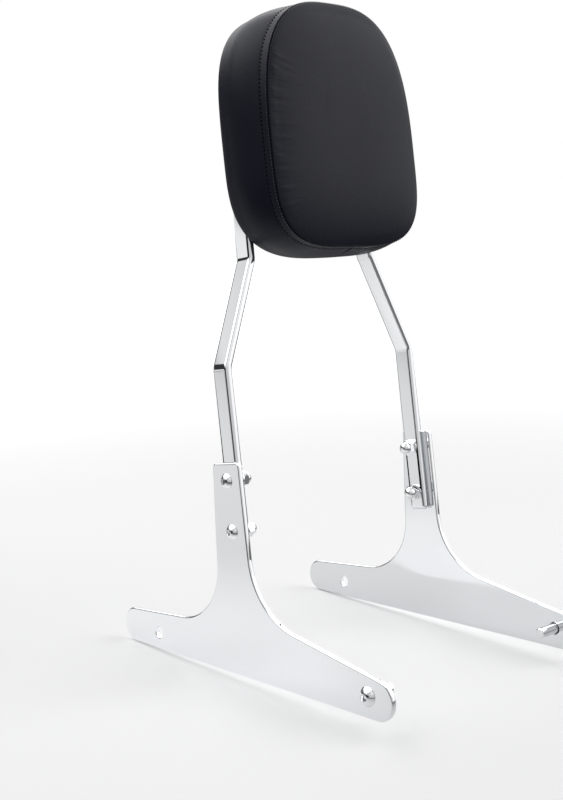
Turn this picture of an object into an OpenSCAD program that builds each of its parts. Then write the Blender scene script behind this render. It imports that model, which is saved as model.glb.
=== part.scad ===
/* [Stance] */
// Angle that the upright leans rearwards, in degrees
lean = 9; // [4:0.5:14]

/* [Upright bar] */
// Depth of the flat bar, front to back
bar_depth = 20; // [16:0.5:25]
// Thickness of the flat bar
bar_thick = 8; // [6:0.5:10]
// Width across the outer faces of the legs at the sideplates
foot_width = 246; // [220:1:290]
// Width across the outer faces of the legs at the upper bends
neck_width = 163; // [150:1:180]
// Angle that the legs close in above the upper bends, in degrees
neck_taper = 1.5; // [0:0.5:3]
// Height of the lower bends above the lower upright screws
lower_bend = 144; // [130:1:170]
// Height between the lower and the upper bends
bend_rise = 94; // [80:1:110]
// Height of the top of the hoop above the upper bends
hoop_rise = 190; // [188:1:200]
// Bend radius at the centre of the bar in the leg bends
leg_bend_r = 14; // [10:1:20]
// Bend radius at the centre of the bar in the top corners of the hoop
hoop_bend_r = 38; // [30:1:39]
// Length of leg below the lower upright screw
leg_tail = 18; // [12:1:22]

/* [Pad straps] */
// Height of the straps that carry the pad
strap_height = 26; // [22:1:30]
// Thickness of the straps
strap_thick = 4; // [3:0.5:6]
// Height of the lower strap's middle above the upper bends
strap_low = 40; // [32:1:42]
// Height from the lower to the upper strap
strap_pitch = 90; // [80:1:92]

/* [Sideplates] */
// Thickness of the sideplates
plate_thick = 5; // [4:0.5:8]
// Height of the tab above the upper upright screw
tab_above = 16; // [12:1:20]
// Distance from the screw line to the tab's front edge
tab_front = 18; // [14:0.5:20]
// Distance from the screw line to the tab's rear edge, at the top
tab_rear = 17.5; // [14:0.5:20]
// Angle that the tab's rear edge flares rearwards, in degrees
tab_flare = 5.8; // [3:0.2:8]
// Corner radius at the top of the tab
tab_corner_r = 4; // [2:0.5:6]
// Distance between the two upright screws
screw_pitch = 45; // [38:1:52]
// Distance of the front strut hole ahead of the screw line
front_hole_y = 146.5; // [130:0.5:160]
// Depth of the front strut hole below the lower upright screw
front_hole_z = 128.5; // [122:0.5:136]
// Distance of the rear strut hole behind the screw line
rear_hole_y = 124.5; // [110:0.5:135]
// Depth of the rear strut hole below the lower upright screw
rear_hole_z = 99; // [94:0.5:104]
// Radius of the front arm's round end
front_end_r = 17; // [14:0.5:20]
// Distance of the front arm's round end ahead of its hole
front_end_lead = 10; // [4:0.5:14]
// Drop of the front arm's round end below its hole
front_end_drop = 2.5; // [0:0.5:4]
// Radius of the tail's round end
tail_end_r = 16.5; // [14:0.5:20]
// Distance of the tail's round end behind the rear hole
tail_length = 37; // [25:1:45]
// Rise of the tail's round end above the rear hole
tail_rise = 4.5; // [2:0.5:8]
// Slope of the front arm's top edge, in degrees
front_slope = 16.6; // [14:0.2:19]
// Slope of the tail's top edge, in degrees
tail_slope = 2.3; // [0:0.1:4]
// Radius of the cove between the tab and the front arm
front_cove_r = 65; // [50:1:72]
// Radius of the cove between the tab and the tail
rear_cove_r = 56; // [45:1:62]

/* [Fasteners] */
// Shank diameter of the upright screws
upright_screw_d = 8; // [6:0.5:9]
// Shank diameter of the strut screws
strut_screw_d = 9.5; // [8:0.5:12]
// Length that the strut screws reach past the sideplates
strut_screw_reach = 22; // [16:1:30]
// Shank diameter of the pad screws
pad_screw_d = 6; // [5:0.5:7]
// Distance between the pad screws in each strap
pad_screw_pitch = 70; // [60:1:90]
// Radial clearance of a screw in its hole
hole_gap = 0.4; // [0.3:0.1:0.8]
// Radial clearance of a screw in its nut
thread_gap = 0.1; // [0.05:0.05:0.2]
// Thickness of the flat washers
washer_thick = 1.6; // [1:0.2:2]

/* [Backrest pad] */
// Width of the front panel at its widest
pad_width = 183; // [176:1:196]
// Height of the widest place above the panel's lower edge
pad_belly = 82; // [76:1:96]
// Height of the front panel
pad_height = 219; // [208:1:238]
// Height of the panel's lower edge above the upper bends
pad_raise = 2.5; // [0:0.5:10]
// Depth of the gusset from the back of the pad to the front seam
gusset_depth = 53.5; // [46:0.5:60]
// How far the back of the pad stands out beyond the front panel at each side
side_flare = 11.5; // [8:0.5:14]
// How far the back of the pad reaches below the front panel
bottom_flare = 4.5; // [2:0.5:6]
// How far the top of the back lies below the top of the front panel
top_fall = 4; // [0:0.5:6]
// Height of the front panel's crown
crown = 7.5; // [5:0.5:10]
// Thickness of the cover with its scrim
cover_thick = 2; // [1.5:0.5:3]
// Thickness of the back cover
back_cover_thick = 3; // [2:0.5:4]
// Thickness of the base board
board_thick = 9; // [8:0.5:12]
// Gap between neighbouring soft pieces
soft_gap = 0.3; // [0.2:0.1:0.5]

/* [Hidden] */
leg_x = (foot_width - bar_thick) / 2;
neck_x = (neck_width - bar_thick) / 2;
upper_bend = lower_bend + bend_rise;
hoop_top = upper_bend + hoop_rise;
plate_x = foot_width / 2;
upper_screw = screw_pitch;
bar_front = -bar_depth / 2;
strut_hole_r = strut_screw_d / 2 + hole_gap;
upright_hole_r = upright_screw_d / 2 + hole_gap;
pad_hole_r = pad_screw_d / 2 + hole_gap;

// Proportions of button-head screws and nuts, per shank diameter
head_w = 1.75;
head_h = 0.55;
socket_w = 0.62;
nut_w = 1.62;
nut_h = 0.8;
dome_w = 1.52;
washer_w = 2;

// Height of a socket's floor as a share of the head, and of a nut's bore in its dome
socket_floor = 0.4;
dome_bore = 0.6;

// Degrees between the points of a drawn arc
arc_step = 3;

// Half-spacing of the legs at a height above the upper bends
function neck_half(rise) = neck_x - rise * tan(neck_taper);

// Angle of a 2D vector, and a point at a distance along an angle
function heading(v) = atan2(v[1], v[0]);
function step(p, angle, dist) = p + dist * [cos(angle), sin(angle)];

// Where the line through p at one angle meets the line through q at another
function meet(p, angle_p, q, angle_q) =
    step(p, angle_p, cross(q - p, step([0, 0], angle_q, 1)) / sin(angle_q - angle_p));

// Points along an arc, from one angle to another either way round
function arc(centre, r, from, to) =
    let(n = ceil(abs(to - from) / arc_step))
    [for (i = [0:n]) step(centre, from + (to - from) * i / n, r)];

// The cove that rounds an inner corner between an edge on its left and one on its right
function cove(corner, left_edge, right_edge, r) =
    let(half = (left_edge - right_edge) / 2)
    arc(step(corner, (left_edge + right_edge) / 2, r / sin(half)), r,
        left_edge + 90, right_edge + 270);

// Middle line of the bar, from the right foot over the hoop to the left foot
half_path = [
    [leg_x, -leg_tail],
    [leg_x, lower_bend],
    [neck_x, upper_bend],
    [neck_half(hoop_rise - bar_thick / 2), hoop_top - bar_thick / 2]
];
half_radii = [0, leg_bend_r, leg_bend_r, hoop_bend_r];
path = concat(
    [for (i = [0:3]) [-half_path[i][0], half_path[i][1]]],
    [for (i = [3:-1:0]) half_path[i]]
);
radii = concat(half_radii, [for (i = [3:-1:0]) half_radii[i]]);

function run_angle(i) = heading(path[i + 1] - path[i]);
function turn(i) = (run_angle(i) - run_angle(i - 1) + 540) % 360 - 180;
function setback(i) = radii[i] * tan(abs(turn(i)) / 2);

// One edge of the bar, standing off to the left of the middle line
function bend_edge(i, off) =
    let(side = sign(turn(i)), start = run_angle(i - 1) - 90 * side)
    arc(step(step(path[i], run_angle(i - 1), -setback(i)), start + 180, radii[i]),
        radii[i] - side * off, start, start + turn(i));
function bar_edge(off) = concat(
    [step(path[0], run_angle(0) + 90, off)],
    [for (i = [1:len(path) - 2], p = bend_edge(i, off)) p],
    [step(path[len(path) - 1], run_angle(len(path) - 2) + 90, off)]
);
function backwards(points) = [for (i = [len(points) - 1:-1:0]) points[i]];

// Outline points of a sideplate, in its own plane: rearwards, upwards
front_end = [-front_hole_y - front_end_lead, -front_hole_z - front_end_drop];
tail_end = [rear_hole_y + tail_length, -rear_hole_z + tail_rise];
front_top = step(front_end, 90 + front_slope, front_end_r);
tail_top = step(tail_end, 90 + tail_slope, tail_end_r);
sole_angle = heading(tail_end - front_end)
    - asin((tail_end_r - front_end_r) / norm(tail_end - front_end));
front_sole = step(front_end, sole_angle - 90, front_end_r);
tail_sole = step(tail_end, sole_angle - 90, tail_end_r);
tab_top = upper_screw + tab_above;
front_corner = meet([-tab_front, 0], 90, front_top, front_slope);
tab_shoulder = step([tab_rear - tab_corner_r, tab_top - tab_corner_r], tab_flare, tab_corner_r);
rear_corner = meet(tab_shoulder, 90 + tab_flare, tail_top, tail_slope);

// Gusset levels: depth from the back, inset of the outline, and share of the back's outline
pad_base = upper_bend + pad_raise;
gusset_levels = [[0, 4, 1], [3, 1, 1], [0.34 * gusset_depth, 0, 1], [0.68 * gusset_depth, 0, 0.45],
    [gusset_depth, 0, 0]];

// Crown levels: share of the crown's height, and inset of the front outline
crown_levels = [[0, 0], [0.42, 9], [0.72, 24], [0.92, 44], [1, 62]];
outline_steps = 56;

// Powers that round the outline's upper and lower corners, on the front and on the back
top_powers = [2.9, 3.6];
bottom_powers = [3.6, 3];
belly_rise = 3;
board_inset = 4;
back_cover_inset = 9;

// Tee nuts: flange and barrel; the slices that the pad's form is stretched over
flange_thick = 1.6;
flange_r = 1.6 * pad_screw_d;
tee_wall = 1.4;
tee_height = 7;
slice = 0.05;

$fn = 64;

// Brings the leaning frame of the lower upright screws to the rear strut holes
module installed() {
    rotate([-lean, 0, 0])
        translate([0, -rear_hole_y, rear_hole_z])
            children();
}

// The left side as drawn, the right side as its mirror image
module on_side(left) {
    if (left) children();
    else mirror([1, 0, 0]) children();
}

// Turns a flat drawing of width and height to stand across the frame,
// thick towards the rear from the given place
module across(from, thick) {
    translate([0, from + thick, 0])
        rotate([90, 0, 0])
            linear_extrude(thick)
                children();
}

// Turns a flat drawing of rearwards and upwards to stand along the frame,
// thick outwards from the given place
module along(from, thick) {
    translate([from, 0, 0])
        rotate([90, 0, 90])
            linear_extrude(thick)
                children();
}

module upright() {
    color("gainsboro")
        installed()
            difference() {
                across(bar_front, bar_depth)
                    polygon(concat(bar_edge(bar_thick / 2), backwards(bar_edge(-bar_thick / 2))));
                for (z = [0, upper_screw])
                    translate([-foot_width, 0, z])
                        rotate([0, 90, 0])
                            cylinder(r = upright_hole_r, h = 2 * foot_width);
            }
}

// A flat strap between the legs, cut to their taper and drilled for the pad screws
module pad_strap(rise) {
    low = neck_half(rise - strap_height / 2) - bar_thick / 2 / cos(neck_taper);
    high = neck_half(rise + strap_height / 2) - bar_thick / 2 / cos(neck_taper);
    bottom = upper_bend + rise - strap_height / 2;
    color("gainsboro")
        installed()
            across(bar_front, strap_thick)
                difference() {
                    polygon([[-low, bottom], [low, bottom], [high, bottom + strap_height],
                        [-high, bottom + strap_height]]);
                    for (x = [-1, 1])
                        translate([x * pad_screw_pitch / 2, upper_bend + rise])
                            circle(pad_hole_r);
                }
}

// Outline of a sideplate: tapering front arm, round-ended tail and the tab between them
module plate_outline() {
    tab_head = tab_top - tab_corner_r;
    polygon(concat(
        arc(front_end, front_end_r, 270 + sole_angle, 90 + front_slope),
        cove(front_corner, 180 + front_slope, 90, front_cove_r),
        arc([tab_corner_r - tab_front, tab_head], tab_corner_r, 180, 90),
        arc([tab_rear - tab_corner_r, tab_head], tab_corner_r, 90, tab_flare),
        cove(rear_corner, 90 + tab_flare, tail_slope, rear_cove_r),
        arc(tail_end, tail_end_r, 90 + tail_slope, sole_angle - 90)
    ));
}

module sideplate(left) {
    color("gainsboro")
        installed()
            on_side(left)
                along(plate_x, plate_thick)
                    difference() {
                        plate_outline();
                        for (z = [0, upper_screw])
                            translate([0, z]) circle(upright_hole_r);
                        translate([-front_hole_y, -front_hole_z]) circle(strut_hole_r);
                        translate([rear_hole_y, -rear_hole_z]) circle(strut_hole_r);
                    }
}

// A button-head screw with a hex socket: seated at the origin, shank along -Z
module button_screw(d, length) {
    head_r = head_w * d / 2;
    rise = head_h * d;
    ball_r = (head_r * head_r + rise * rise) / (2 * rise);
    difference() {
        union() {
            intersection() {
                translate([0, 0, rise - ball_r]) sphere(ball_r, $fn = 96);
                cylinder(r = head_r, h = rise);
            }
            translate([0, 0, -length]) cylinder(r = d / 2, h = length);
        }
        translate([0, 0, socket_floor * rise])
            cylinder(r = socket_w * d / 2 / cos(30), h = rise, $fn = 6);
    }
}

// A flat washer standing on the origin
module washer(d) {
    difference() {
        cylinder(r = washer_w * d / 2, h = washer_thick);
        translate([0, 0, -washer_thick]) cylinder(r = d / 2 + hole_gap, h = 3 * washer_thick);
    }
}

// A domed nut standing on the origin, with a blind hole
module acorn_nut(d) {
    flat_h = nut_h * d;
    dome_r = dome_w * d / 2;
    difference() {
        union() {
            cylinder(r = nut_w * d / 2 / cos(30), h = flat_h, $fn = 6);
            translate([0, 0, flat_h])
                intersection() {
                    sphere(dome_r);
                    cylinder(r = dome_r, h = dome_r);
                }
        }
        translate([0, 0, -1]) cylinder(r = d / 2 + thread_gap, h = 1 + flat_h + dome_bore * dome_r);
    }
}

// Puts a fastener with its axis along X on one side's plate, seated at a distance out
module side_fastener(left, seat_x, y, z) {
    installed()
        on_side(left)
            translate([seat_x, y, z])
                rotate([0, 90, 0])
                    children();
}

nut_seat = plate_x - bar_thick - washer_thick;
upright_screw_length = plate_thick + bar_thick + washer_thick + upright_screw_d;

module upright_screw(left, z) {
    color("silver")
        side_fastener(left, plate_x + plate_thick, 0, z)
            button_screw(upright_screw_d, upright_screw_length);
}

module upright_washer(left, z) {
    color("silver")
        side_fastener(left, nut_seat, 0, z)
            washer(upright_screw_d);
}

module upright_nut(left, z) {
    color("silver")
        side_fastener(left, nut_seat, 0, z)
            mirror([0, 0, 1]) acorn_nut(upright_screw_d);
}

module strut_screw(left) {
    color("silver")
        side_fastener(left, plate_x + plate_thick, -front_hole_y, -front_hole_z)
            button_screw(strut_screw_d, plate_thick + strut_screw_reach);
}

// Repeats a fastener at the four pad screw places, its axis along Y
module at_pad_screws(seat_y) {
    installed()
        for (x = [-1, 1], rise = [strap_low, strap_low + strap_pitch])
            translate([x * pad_screw_pitch / 2, seat_y, upper_bend + rise])
                rotate([-90, 0, 0])
                    children();
}

strap_back = bar_front + strap_thick;
pad_screw_length = washer_thick + strap_thick + back_cover_thick + board_thick - 1;

module pad_screws() {
    color("dimgray")
        at_pad_screws(strap_back + washer_thick)
            button_screw(pad_screw_d, pad_screw_length);
}

module pad_screw_washers() {
    color("dimgray")
        at_pad_screws(strap_back)
            washer(pad_screw_d);
}

// Tee nuts: a flange on the front of the board and a barrel inside it
board_back = bar_front - back_cover_thick;
board_front = board_back - board_thick;
tee_barrel_r = pad_screw_d / 2 + tee_wall;

module tee_nuts() {
    color("goldenrod")
        at_pad_screws(board_front)
            difference() {
                union() {
                    translate([0, 0, -flange_thick]) cylinder(r = flange_r, h = flange_thick);
                    cylinder(r = tee_barrel_r, h = tee_height);
                }
                translate([0, 0, -2 * flange_thick])
                    cylinder(r = pad_screw_d / 2 + thread_gap, h = 3 * flange_thick + tee_height);
            }
}

// One point of the pad's outline at an angle, drawn in by an inset;
// share is 0 for the front panel's outline and 1 for the back's
function egg_point(angle, inset, share) =
    let(low = sin(angle) < 0,
        powers = low ? bottom_powers : top_powers,
        power = powers[0] + share * (powers[1] - powers[0]),
        belly = pad_belly + share * belly_rise,
        height = pad_height + share * (bottom_flare - top_fall),
        reach = low ? belly : height - belly)
    [sign(cos(angle)) * (pad_width / 2 + share * side_flare - inset) * pow(abs(cos(angle)), 2 / power),
     pad_base - share * bottom_flare + belly
        + sign(sin(angle)) * (reach - inset) * pow(abs(sin(angle)), 2 / power)];

module pad_outline(inset, share) {
    polygon([for (i = [0:outline_steps - 1]) egg_point((i + 0.5) * 360 / outline_steps, inset, share)]);
}

// The pad's outer form, drawn in all round by an inset
module pad_form(inset) {
    hull() {
        for (level = gusset_levels)
            across(bar_front - max(level[0], inset) - slice, slice)
                pad_outline(level[1] + inset, level[2]);
        for (level = crown_levels)
            across(bar_front - gusset_depth - level[0] * crown + (level[0] > 0 ? inset : 0), slice)
                pad_outline(level[1] + inset, 0);
    }
}

// A block that holds everything of the pad ahead of a place, measured from the bar's front
module ahead_of(depth) {
    translate([-pad_width, bar_front - depth - pad_width, pad_base - pad_width / 2])
        cube([2 * pad_width, pad_width, pad_height + pad_width]);
}

module pad_front_panel() {
    color("black")
        installed()
            difference() {
                intersection() {
                    pad_form(0);
                    ahead_of(gusset_depth);
                }
                pad_form(cover_thick);
            }
}

module pad_gusset() {
    color("black")
        installed()
            difference() {
                pad_form(0);
                pad_form(cover_thick);
                ahead_of(gusset_depth);
                across(bar_front - back_cover_thick, 2 * back_cover_thick)
                    pad_outline(back_cover_inset - soft_gap, 1);
            }
}

// Holes for the pad screws through whatever lies behind the foam
module pad_drill(r) {
    for (x = [-1, 1], rise = [strap_low, strap_low + strap_pitch])
        translate([x * pad_screw_pitch / 2, bar_front + 1, upper_bend + rise])
            rotate([90, 0, 0])
                cylinder(r = r, h = back_cover_thick + board_thick + 2);
}

module pad_back_cover() {
    color("dimgray")
        installed()
            difference() {
                across(board_back, back_cover_thick)
                    pad_outline(back_cover_inset, 1);
                pad_drill(pad_hole_r);
            }
}

module pad_base_board() {
    color("burlywood")
        installed()
            difference() {
                across(board_front, board_thick)
                    pad_outline(board_inset, 1);
                pad_drill(tee_barrel_r + hole_gap);
            }
}

module pad_foam() {
    color("khaki")
        installed()
            difference() {
                intersection() {
                    pad_form(cover_thick + soft_gap);
                    ahead_of(back_cover_thick + board_thick + soft_gap);
                }
                for (x = [-1, 1], rise = [strap_low, strap_low + strap_pitch])
                    translate([x * pad_screw_pitch / 2, board_front, upper_bend + rise])
                        rotate([90, 0, 0])
                            cylinder(r = flange_r + hole_gap, h = flange_thick + hole_gap);
            }
}

upright();
pad_strap(strap_low);  // pad_strap_lower
pad_strap(strap_low + strap_pitch);  // pad_strap_upper
sideplate(false);  // sideplate_right
sideplate(true);  // sideplate_left
upright_screw(false, 0);  // upright_screw_right_lower
upright_screw(false, upper_screw);  // upright_screw_right_upper
upright_screw(true, 0);  // upright_screw_left_lower
upright_screw(true, upper_screw);  // upright_screw_left_upper
upright_washer(false, 0);  // upright_washer_right_lower
upright_washer(false, upper_screw);  // upright_washer_right_upper
upright_washer(true, 0);  // upright_washer_left_lower
upright_washer(true, upper_screw);  // upright_washer_left_upper
upright_nut(false, 0);  // acorn_nut_right_lower
upright_nut(false, upper_screw);  // acorn_nut_right_upper
upright_nut(true, 0);  // acorn_nut_left_lower
upright_nut(true, upper_screw);  // acorn_nut_left_upper
strut_screw(false);  // strut_screw_right
strut_screw(true);  // strut_screw_left
pad_screws();
pad_screw_washers();
tee_nuts();
pad_back_cover();
pad_base_board();
pad_foam();
pad_gusset();
pad_front_panel();
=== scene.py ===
"""Dresses the sissy bar's CAD frame: chrome bar and sideplates, screws and the sewn pad.

Lengths in the piece classes are millimetres in the leaning frame of the upright: x to the left,
y rearwards, z up the lean from the lower upright screws. The placing matrix brings them to metres
in the part's own frame.
"""

import logging
import math
import random
from dataclasses import dataclass, field
from enum import Enum
from typing import Callable, Iterable, Sequence

import bmesh
import bpy
import numpy as np
from mathutils import Matrix, Vector


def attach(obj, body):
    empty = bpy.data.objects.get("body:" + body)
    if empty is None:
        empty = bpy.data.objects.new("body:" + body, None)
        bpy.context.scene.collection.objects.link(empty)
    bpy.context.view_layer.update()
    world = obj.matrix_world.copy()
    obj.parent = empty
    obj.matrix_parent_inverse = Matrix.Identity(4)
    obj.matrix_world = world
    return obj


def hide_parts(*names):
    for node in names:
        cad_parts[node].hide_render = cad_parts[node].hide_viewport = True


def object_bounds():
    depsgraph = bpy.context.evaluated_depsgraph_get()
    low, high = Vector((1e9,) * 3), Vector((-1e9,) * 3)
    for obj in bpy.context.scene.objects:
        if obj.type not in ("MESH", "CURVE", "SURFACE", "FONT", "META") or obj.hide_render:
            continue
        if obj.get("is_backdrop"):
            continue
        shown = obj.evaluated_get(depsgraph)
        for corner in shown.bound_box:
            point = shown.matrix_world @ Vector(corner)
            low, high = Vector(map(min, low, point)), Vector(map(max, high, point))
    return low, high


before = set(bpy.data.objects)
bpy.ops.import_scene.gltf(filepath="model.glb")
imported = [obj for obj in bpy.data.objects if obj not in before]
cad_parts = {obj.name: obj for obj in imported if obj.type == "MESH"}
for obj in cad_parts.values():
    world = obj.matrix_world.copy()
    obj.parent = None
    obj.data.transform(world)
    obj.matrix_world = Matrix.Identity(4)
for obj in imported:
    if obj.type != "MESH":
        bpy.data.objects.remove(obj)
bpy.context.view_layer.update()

log = logging.getLogger("sissy_bar")

MM = 0.001
LEAN = math.radians(9.0)
REAR_HOLE = Vector((0.0, 124.5, -99.0))
PLACE = Matrix.Rotation(-LEAN, 4, "X") @ Matrix.Scale(MM, 4) @ Matrix.Translation(-REAR_HOLE)
BODY = "root"


class Slot(Enum):
    """Material slots of the record; no piece takes its finish from them."""

    CHROME = "chrome"
    BRIGHT_STEEL = "bright_steel"
    BLACK_STEEL = "black_steel"
    VINYL = "vinyl"


class Side(Enum):
    """The two sides of the bar, by the sign of their x."""

    RIGHT = -1
    LEFT = 1


class Wire:
    """A shader socket that adds its Math nodes when it is used in an expression."""

    def __init__(self, tree: bpy.types.NodeTree, socket: bpy.types.NodeSocket) -> None:
        """Wraps one output socket of a node tree."""
        self.tree = tree
        self.socket = socket

    def _math(self, operation: str, *values: "Wire | float") -> "Wire":
        """Adds a Math node.

        Args:
            operation: the Math node's operation.
            values: its inputs in order, wires or numbers.

        Returns:
            The node's output.
        """
        node = self.tree.nodes.new("ShaderNodeMath")
        node.operation = operation
        for index, value in enumerate(values):
            if isinstance(value, Wire):
                self.tree.links.new(value.socket, node.inputs[index])
            else:
                node.inputs[index].default_value = value
        return Wire(self.tree, node.outputs[0])

    def __add__(self, other: "Wire | float") -> "Wire":
        """Adds."""
        return self._math("ADD", self, other)

    def __radd__(self, other: float) -> "Wire":
        """Adds, with the number first."""
        return self._math("ADD", other, self)

    def __sub__(self, other: "Wire | float") -> "Wire":
        """Subtracts."""
        return self._math("SUBTRACT", self, other)

    def __rsub__(self, other: float) -> "Wire":
        """Subtracts from a number."""
        return self._math("SUBTRACT", other, self)

    def __mul__(self, other: "Wire | float") -> "Wire":
        """Multiplies."""
        return self._math("MULTIPLY", self, other)

    def __rmul__(self, other: float) -> "Wire":
        """Multiplies, with the number first."""
        return self._math("MULTIPLY", other, self)

    def most(self, other: "Wire | float") -> "Wire":
        """Takes the larger of two."""
        return self._math("MAXIMUM", self, other)

    def ramp(self, low: float, high: float) -> "Wire":
        """Rises smoothly from 0 at low to 1 at high.

        Args:
            low: the value that gives 0.
            high: the value that gives 1.

        Returns:
            The eased share.
        """
        node = self.tree.nodes.new("ShaderNodeMapRange")
        node.interpolation_type = "SMOOTHSTEP"
        self.tree.links.new(self.socket, node.inputs["Value"])
        node.inputs["From Min"].default_value = low
        node.inputs["From Max"].default_value = high
        return Wire(self.tree, node.outputs["Result"])


class Shader:
    """A material or world under construction, with one way to add any node."""

    def __init__(self, tree: bpy.types.NodeTree) -> None:
        """Empties the node tree."""
        self.tree = tree
        tree.nodes.clear()

    def node(self, kind: str, settings: dict | None = None,
             inputs: dict | None = None) -> bpy.types.Node:
        """Adds a node.

        Args:
            kind: the node's type.
            settings: attributes to set first.
            inputs: values or wires by socket name or index.

        Returns:
            The new node.
        """
        made = self.tree.nodes.new(kind)
        for name, value in (settings or {}).items():
            setattr(made, name, value)
        for name, value in (inputs or {}).items():
            if isinstance(value, Wire):
                self.tree.links.new(value.socket, made.inputs[name])
            else:
                made.inputs[name].default_value = value
        return made

    def wire(self, made: bpy.types.Node, name: str | int = 0) -> Wire:
        """Wraps an output of a node."""
        return Wire(self.tree, made.outputs[name])

    def parts(self, vector: Wire) -> tuple[Wire, Wire, Wire]:
        """Splits a vector into its x, y and z."""
        split = self.node("ShaderNodeSeparateXYZ", inputs={"Vector": vector})
        return self.wire(split, "X"), self.wire(split, "Y"), self.wire(split, "Z")

    def place(self, scale: Sequence[float] = (1.0, 1.0, 1.0)) -> Wire:
        """Gives the Object coordinates, scaled."""
        coords = self.wire(self.node("ShaderNodeTexCoord"), "Object")
        return self.wire(self.node("ShaderNodeMapping", inputs={"Vector": coords, "Scale": scale}))

    def noise(self, at: Wire, scale: float, detail: float = 2.0, roughness: float = 0.5) -> Wire:
        """Gives noise of about 0 to 1, at a scale in waves per metre and detail in octaves."""
        made = self.node("ShaderNodeTexNoise",
                         inputs={"Vector": at, "Scale": scale, "Detail": detail,
                                 "Roughness": roughness})
        return self.wire(made, "Fac")

    def cells(self, at: Wire, scale: float, smoothness: float = 1.0) -> Wire:
        """Gives the distance to the nearest of many scattered points, blended between them."""
        made = self.node("ShaderNodeTexVoronoi", settings={"feature": "SMOOTH_F1"},
                         inputs={"Vector": at, "Scale": scale, "Smoothness": smoothness})
        return self.wire(made, "Distance")


def new_material(name: str) -> tuple[bpy.types.Material, Shader]:
    """Makes a material with an empty node tree.

    Args:
        name: name for the material.

    Returns:
        The material and the shader that fills it.
    """
    material = bpy.data.materials.new(name)
    material.use_nodes = True
    return material, Shader(material.node_tree)


@dataclass(frozen=True)
class Finish:
    """A finish: the plain values of a Principled shader."""

    name: str
    colour: tuple[float, float, float]
    roughness: float
    metallic: float = 0.0
    specular: float = 0.5

    def material(self) -> bpy.types.Material:
        """Makes the material: the plain values, then what the finish adds to them.

        Returns:
            The finished material.
        """
        material, shader = new_material(self.name)
        principled = shader.node("ShaderNodeBsdfPrincipled", inputs={
            "Base Color": (*self.colour, 1.0), "Roughness": self.roughness,
            "Metallic": self.metallic, "Specular IOR Level": self.specular})
        shader.node("ShaderNodeOutputMaterial", inputs={"Surface": shader.wire(principled)})
        self.dress(shader, principled)
        return material

    def dress(self, shader: Shader, principled: bpy.types.Node) -> None:
        """Adds what varies over the surface. A plain finish adds nothing."""

    def link(self, shader: Shader, principled: bpy.types.Node, name: str, wire: Wire) -> None:
        """Feeds a varying value to one of the shader's sockets."""
        shader.tree.links.new(wire.socket, principled.inputs[name])

    def uneven(self, shader: Shader, principled: bpy.types.Node, cloud: Wire,
               spread: float) -> None:
        """Lets the roughness vary by a spread about its plain value."""
        self.link(shader, principled, "Roughness", cloud * spread + (self.roughness - spread / 2))

    def bump(self, shader: Shader, principled: bpy.types.Node, height: Wire,
             distance: float) -> None:
        """Feeds a height to the shader's normal through a Bump node."""
        made = shader.node("ShaderNodeBump",
                           inputs={"Height": height, "Distance": distance, "Strength": 1.0})
        self.link(shader, principled, "Normal", shader.wire(made))


@dataclass(frozen=True)
class Metal(Finish):
    """Plated or bare metal with a faint unevenness of polish."""

    haze: float = 0.02
    haze_scale: float = 60.0

    def dress(self, shader: Shader, principled: bpy.types.Node) -> None:
        """Clouds the polish."""
        self.uneven(shader, principled, shader.noise(shader.place(), self.haze_scale, 3.0),
                    self.haze)


@dataclass(frozen=True)
class Vinyl(Finish):
    """Black upholstery vinyl with a fine leather grain."""

    grain_scale: float = 900.0
    grain_height: float = 0.00009

    def dress(self, shader: Shader, principled: bpy.types.Node) -> None:
        """Raises the grain and varies the sheen slowly.

        Args:
            shader: the shader under construction.
            principled: its Principled node.
        """
        at = shader.place()
        cells = shader.cells(at, self.grain_scale, 0.6)
        creases = shader.noise(at, self.grain_scale * 0.35, 3.0, 0.6)
        self.bump(shader, principled, cells * 0.6 + creases * 0.8, self.grain_height)
        self.uneven(shader, principled, shader.noise(at, 22.0), 0.06)


@dataclass(frozen=True)
class Pebbled(Finish):
    """Moulded sheet with a pebbled face."""

    pebble_scale: float = 420.0
    pebble_height: float = 0.00025

    def dress(self, shader: Shader, principled: bpy.types.Node) -> None:
        """Raises the pebbles.

        Args:
            shader: the shader under construction.
            principled: its Principled node.
        """
        at = shader.place()
        self.bump(shader, principled, 1.0 - shader.cells(at, self.pebble_scale),
                  self.pebble_height)
        self.uneven(shader, principled, shader.noise(at, 40.0), 0.1)


@dataclass(frozen=True)
class Plywood(Finish):
    """Plywood: pale layers with a streaky grain."""

    dark: tuple[float, float, float] = (0.30, 0.19, 0.10)

    def dress(self, shader: Shader, principled: bpy.types.Node) -> None:
        """Streaks the wood.

        Args:
            shader: the shader under construction.
            principled: its Principled node.
        """
        streaks = shader.noise(shader.place((1.0, 60.0, 9.0)), 18.0, 5.0, 0.6)
        mixed = shader.node("ShaderNodeMix", settings={"data_type": "RGBA"}, inputs={
            0: streaks.ramp(0.3, 0.75), 6: (*self.colour, 1.0), 7: (*self.dark, 1.0)})
        self.link(shader, principled, "Base Color", shader.wire(mixed, 2))
        self.bump(shader, principled, streaks, 0.0002)


@dataclass(frozen=True)
class Foam(Finish):
    """Open-cell cushion foam."""

    def dress(self, shader: Shader, principled: bpy.types.Node) -> None:
        """Sinks the pores.

        Args:
            shader: the shader under construction.
            principled: its Principled node.
        """
        pores = shader.noise(shader.place(), 700.0)
        self.bump(shader, principled, pores, 0.0004)
        self.uneven(shader, principled, pores, 0.1)


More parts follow.
